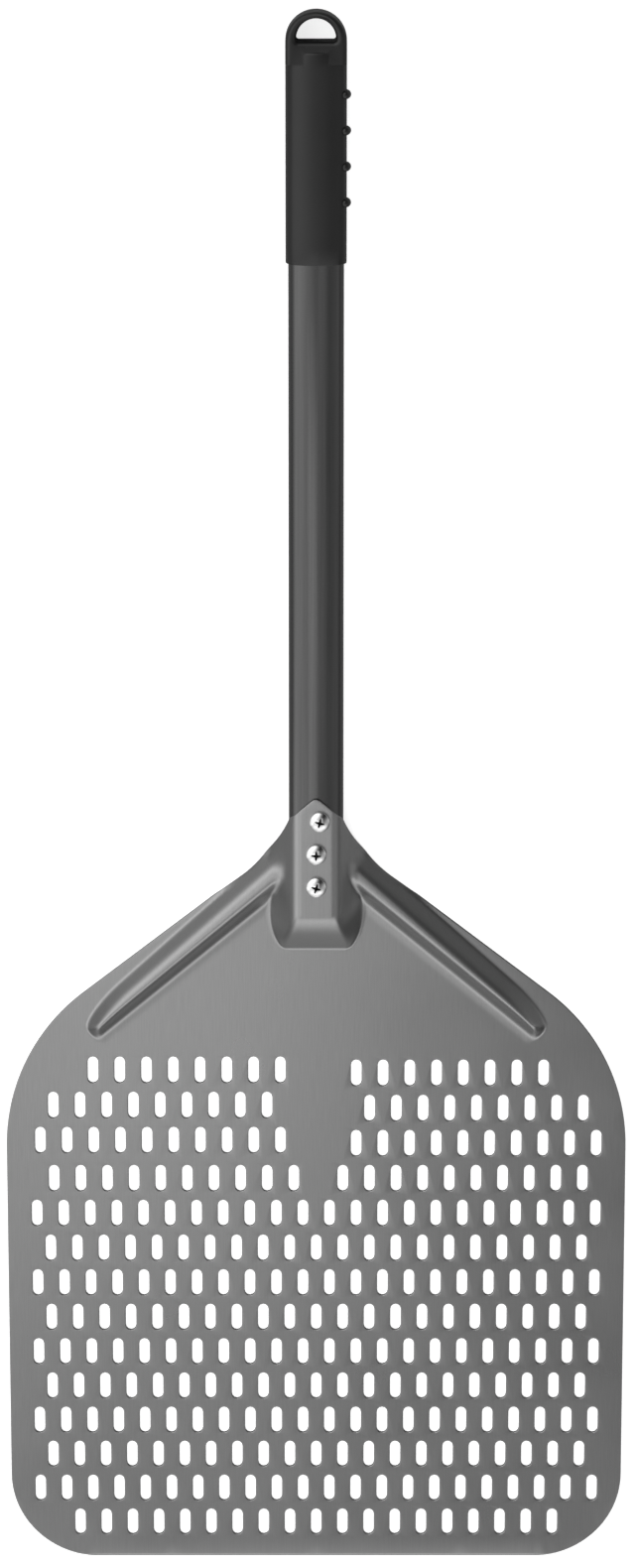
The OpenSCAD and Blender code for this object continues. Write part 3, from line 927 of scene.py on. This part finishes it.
def pan_head():
    """A screw with a plain domed head, spun about its axis, with the head's foot at zero."""
    screw_low, _ = box_mm("screw_front")
    length = channel_z - screw_low[2]
    dome_mid = head_h - dome_r
    # The rounded edge touches both the dome and the head's side
    edge_x = head_r - head_edge_r
    edge_z = dome_mid + math.sqrt((dome_r - head_edge_r) ** 2 - edge_x**2)
    meet = math.atan2(edge_x, edge_z - dome_mid)
    profile = [(dome_r * math.sin(a), dome_mid + dome_r * math.cos(a))
               for a in np.linspace(0, meet, 14)[1:]]
    profile += [(edge_x + head_edge_r * math.cos(a), edge_z + head_edge_r * math.sin(a))
                for a in np.linspace(math.pi / 2 - meet, 0, 7)[1:]]
    profile += [(head_r, 0.15), (head_r - 0.15, 0), (thread_r, 0),
                (thread_r, 0.6 - length), (thread_r - 0.6, -length)]
    size = 64
    points, faces = [(0, 0, head_h)], []
    for radius, z in profile:
        points += [(radius * math.cos(a), radius * math.sin(a), z)
                   for a in np.linspace(0, 2 * math.pi, size, endpoint=False)]
    faces += [(0, 1 + j, 1 + (j + 1) % size) for j in range(size)]
    for i in range(len(profile) - 1):
        a, b = 1 + i * size, 1 + (i + 1) * size
        faces += [(a + j, b + j, b + (j + 1) % size, a + (j + 1) % size) for j in range(size)]
    end = 1 + (len(profile) - 1) * size
    faces.append(tuple(range(end, end + size)))
    piece = new_mesh("pan_head_screw", points, faces)
    face_outwards(piece)
    return piece


def cross_recess():
    """The tapered cross that is struck into the head."""
    def cross(reach, arm, z):
        tip = 0.4 * arm
        corner = [(reach, -tip), (reach, tip), (arm, arm)]
        ring = []
        for turn in range(4):
            c, s = math.cos(turn * math.pi / 2), math.sin(turn * math.pi / 2)
            ring += [(x * c - y * s, x * s + y * c, z) for x, y in corner]
        return ring

    levels = [(recess_half_w + 0.25, recess_half_arm + 0.1, head_h + 0.4),
              (recess_half_w, recess_half_arm, head_h - 0.3),
              (0.5 * recess_half_w, 0.75 * recess_half_arm, head_h - recess_depth),
              (0.22 * recess_half_w, 0.5 * recess_half_arm, head_h - recess_depth - 0.35)]
    points, faces = [], []
    for reach, arm, depth in levels:
        points += cross(reach, arm, depth)
    size = 12
    for i in range(len(levels) - 1):
        faces += band(i * size, (i + 1) * size, size)
    end = (len(levels) - 1) * size
    faces += [tuple(range(size)), tuple(range(end, end + size))]
    piece = new_mesh("cross_recess", points, faces, smooth=False)
    face_outwards(piece)
    return piece


def screw_tree():
    """Strikes the recess into the head, gives the recess's faces a dark material as painted
    shade, and puts a screw at each place, turned as it happened to stop."""
    tree, start, end = new_tree("driven_screws", [
        ("Screw", "Object"), ("Recess", "Object"), ("Most turn", "Float"), ("Seed", "Int"),
        ("Material", "Material"), ("Recess material", "Material")])
    screw = add_node(tree, "GeometryNodeObjectInfo", {"Object": start.outputs["Screw"]})
    recess = add_node(tree, "GeometryNodeObjectInfo", {"Object": start.outputs["Recess"]})
    marked = add_node(tree, "GeometryNodeStoreNamedAttribute", {
        "Geometry": recess.outputs["Geometry"], "Name": "struck", "Value": True},
        data_type="BOOLEAN", domain="FACE")
    struck = add_node(tree, "GeometryNodeMeshBoolean", {
        "Mesh 1": screw.outputs["Geometry"], "Mesh 2": marked.outputs["Geometry"]},
        operation="DIFFERENCE", solver="EXACT")
    turn = add_node(tree, "FunctionNodeRandomValue", {
        "Min": 0.0, "Max": start.outputs["Most turn"], "Seed": start.outputs["Seed"]})
    axis = add_node(tree, "ShaderNodeCombineXYZ", {"Z": turn.outputs["Value"]})
    put = add_node(tree, "GeometryNodeInstanceOnPoints", {
        "Points": start.outputs["Geometry"], "Instance": struck.outputs["Mesh"],
        "Rotation": axis.outputs["Vector"]})
    real = add_node(tree, "GeometryNodeRealizeInstances", {
        "Geometry": put.outputs["Instances"]})
    coat = add_node(tree, "GeometryNodeSetMaterial", {
        "Geometry": real.outputs["Geometry"], "Material": start.outputs["Material"]})
    # The recess's faces take a dark grey material: painted shade for the shadow inside the
    # recess
    mark = add_node(tree, "GeometryNodeInputNamedAttribute", {"Name": "struck"},
                    data_type="BOOLEAN")
    recess_shaded = add_node(tree, "GeometryNodeSetMaterial", {
        "Geometry": coat.outputs["Geometry"], "Selection": mark.outputs["Attribute"],
        "Material": start.outputs["Recess material"]})
    tree.links.new(recess_shaded.outputs["Geometry"], end.inputs["Geometry"])
    return tree


def plated_steel(name, light, dark, rough):
    """Bright plated steel. The plating is all but a mirror, dulled by fine marks left from
    barrel plating."""
    material, tree, shader = new_material(name)
    where = add_node(tree, "ShaderNodeTexCoord")
    # Barrel marks are a few hundredths of a millimetre; they are drawn at 0.5 mm to show
    marks = add_node(tree, "ShaderNodeTexNoise", {
        "Vector": where.outputs["Object"], "Scale": 1 / (0.5 * MM), "Detail": 4.0})
    vary_finish(tree, shader, marks, (light, dark), marks, (rough, rough + 0.08), marks,
                (0.05, 0.02), tint_range=(0.35, 0.7))
    shader.inputs["Metallic"].default_value = 1.0
    return material


def drive_screws():
    """The three screws as one mesh."""
    places = []
    for node in ("screw_rear", "screw_middle", "screw_front"):
        low, high = box_mm(node)
        places.append(((low[0] + high[0]) / 2, (low[1] + high[1]) / 2, high[2] - head_h))
    screws = new_mesh("pan_head_screws", places, [], smooth=False)
    screw, recess = pan_head(), cross_recess()
    driven = screws.modifiers.new("driven_screws", "NODES")
    driven.node_group = screw_tree()
    # The recess gets a dark grey copy of the steel, which is painted shade, not a real finish
    set_inputs(driven, {"Screw": screw, "Recess": recess, "Most turn": -0.35, "Seed": 4,
                        "Material": plated_steel("nickel_plated_steel", "#e8e8e8",
                                                 "#d2d2d2", 0.1),
                        "Recess material": plated_steel("struck_steel", "#3c3c3c",
                                                        "#2c2c2c", 0.4)})
    baked(screws)
    for helper in (screw, recess):
        bpy.data.objects.remove(helper)
    shade(screws.data, 30)
    return screws


screws = drive_screws()
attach(screws, "root")
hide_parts("screw_rear", "screw_middle", "screw_front")


# ---------------------------------------------------------------------------
# Nut carrier and nuts
# A black moulded block inside the tube's end holds three M5 hexagon nuts of zinc-plated
# steel in pockets, so that the screws can be driven from above. Their CAD shapes stay.
# ---------------------------------------------------------------------------
carrier_plastic = moulded_plastic("glass_filled_nylon", "#1b1b1b", "#232323", 0.55)
nut_zinc = plated_steel("zinc_plated_steel", "#c9ccd0", "#a9adb3", 0.28)
for node, finish in (("nut_carrier", carrier_plastic), ("nut_rear", nut_zinc),
                     ("nut_middle", nut_zinc), ("nut_front", nut_zinc)):
    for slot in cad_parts[node].material_slots:
        slot.material = finish


# ---------------------------------------------------------------------------
# Studio
# A lit white table under the peel, a bank of dimmed panels over it, and soft glows round the
# room, stronger to the left. The far right is left dark.
# ---------------------------------------------------------------------------
table_reach = 6000
table_corners = [(x * table_reach, y * table_reach, 0)
                 for x, y in ((-1, -1), (1, -1), (1, 1), (-1, 1))]
table = new_mesh("table", table_corners, [(0, 1, 2, 3)], smooth=False)
table_acrylic, table_tree, table_shader = new_material("white_acrylic")
# It is exposed to show white, and is dimmer in the metal's reflections
table_seen = add_node(table_tree, "ShaderNodeLightPath")
table_tint = add_node(table_tree, "ShaderNodeMix", {
    "Factor": table_seen.outputs["Is Camera Ray"], "A": linear("#b0b0b0"),
    "B": linear("#e7e7e7")}, data_type="RGBA")
table_glow = add_node(table_tree, "ShaderNodeMath", {
    0: table_seen.outputs["Is Camera Ray"], 1: 0.78}, operation="MULTIPLY")
table_tree.links.new(table_tint.outputs["Result"], table_shader.inputs["Base Color"])
table_tree.links.new(table_glow.outputs[0], table_shader.inputs["Emission Strength"])
table_shader.inputs["Emission Color"].default_value = linear("#ffffff")
table_shader.inputs["Roughness"].default_value = 0.9
table.data.materials.append(table_acrylic)


def add_panel(name, place, size, radiance, aim):
    """A panel light that the camera doesn't see."""
    data = bpy.data.lights.new(name, "AREA")
    data.shape = "RECTANGLE"
    data.size, data.size_y = size
    data.energy = radiance * math.pi * size[0] * size[1]
    light = bpy.data.objects.new(name, data)
    scene.collection.objects.link(light)
    light.location = place
    light.rotation_euler = (Vector(aim) - Vector(place)).to_track_quat("-Z", "Y").to_euler()
    light.visible_camera = False


# Each panel of the bank: its place across and along, and its radiance
bank_z, bank_size = 0.9, (0.32, 0.30)
bank = [(-0.45, -0.7, 0.26), (-0.45, -0.4, 0.29), (-0.12, -0.7, 0.14), (-0.12, -0.4, 0.80),
        (-0.12, -0.1, 1.0), (-0.12, 0.2, 0.10), (0.21, -0.1, 0.36), (0.21, 0.2, 0.49)]
for i, (x, y, radiance) in enumerate(bank):
    add_panel(f"bank_{i}", (x, y, bank_z), bank_size, radiance, (x, y, 0))
add_panel("left_panel", (-0.7, -0.3, 0.35), (0.3, 0.5), 0.40, (0, -0.1, 0))

# The glows in rings round the room: each ring's height in degrees, then its glows'
# directions round from +X and their strengths
tight = 20
rings = [
    (10, [(30, 0.22), (120, 0.39), (150, 0.22), (180, 0.38), (210, 0.22), (240, 0.21),
          (270, 0.80)]),
    (15, [(0, 0.42)]),
    (35, [(0, 0.28), (100, 1.15), (120, 1.30), (150, 1.06), (180, 0.85), (210, 0.59),
          (240, 1.21), (270, 0.80), (300, 1.29), (330, 0.29)]),
    (60, [(0, 0.10), (120, 0.79), (180, 1.22), (240, 0.14), (300, 0.25)]),
]
glows = [(around, up, strength) for up, ring in rings for around, strength in ring]
world = bpy.data.worlds.new("studio")
world.use_nodes = True
scene.world = world
room = world.node_tree
look = add_node(room, "ShaderNodeTexCoord")
total = 0.0
for around, up, strength in glows:
    a, e = math.radians(around), math.radians(up)
    way = (math.cos(e) * math.cos(a), math.cos(e) * math.sin(a), math.sin(e))
    near = add_node(room, "ShaderNodeVectorMath", {0: look.outputs["Generated"], 1: way},
                    operation="DOT_PRODUCT")
    fall = add_node(room, "ShaderNodeMath", {0: near.outputs["Value"], 1: tight, 2: -tight},
                    operation="MULTIPLY_ADD")
    glow = add_node(room, "ShaderNodeMath", {0: fall.outputs[0]}, operation="EXPONENT")
    summed = add_node(room, "ShaderNodeMath", {0: glow.outputs[0], 1: strength, 2: total},
                      operation="MULTIPLY_ADD")
    total = summed.outputs[0]
# The camera sees the room as a plain pale backdrop
seen = add_node(room, "ShaderNodeLightPath")
shown = add_node(room, "ShaderNodeMix", {
    "Factor": seen.outputs["Is Camera Ray"], "A": total, "B": 1.0})
room.links.new(shown.outputs["Result"], room.nodes["Background"].inputs["Strength"])
room.nodes["Background"].inputs["Color"].default_value = linear("#ffffff")
scene.view_settings.view_transform = "Standard"
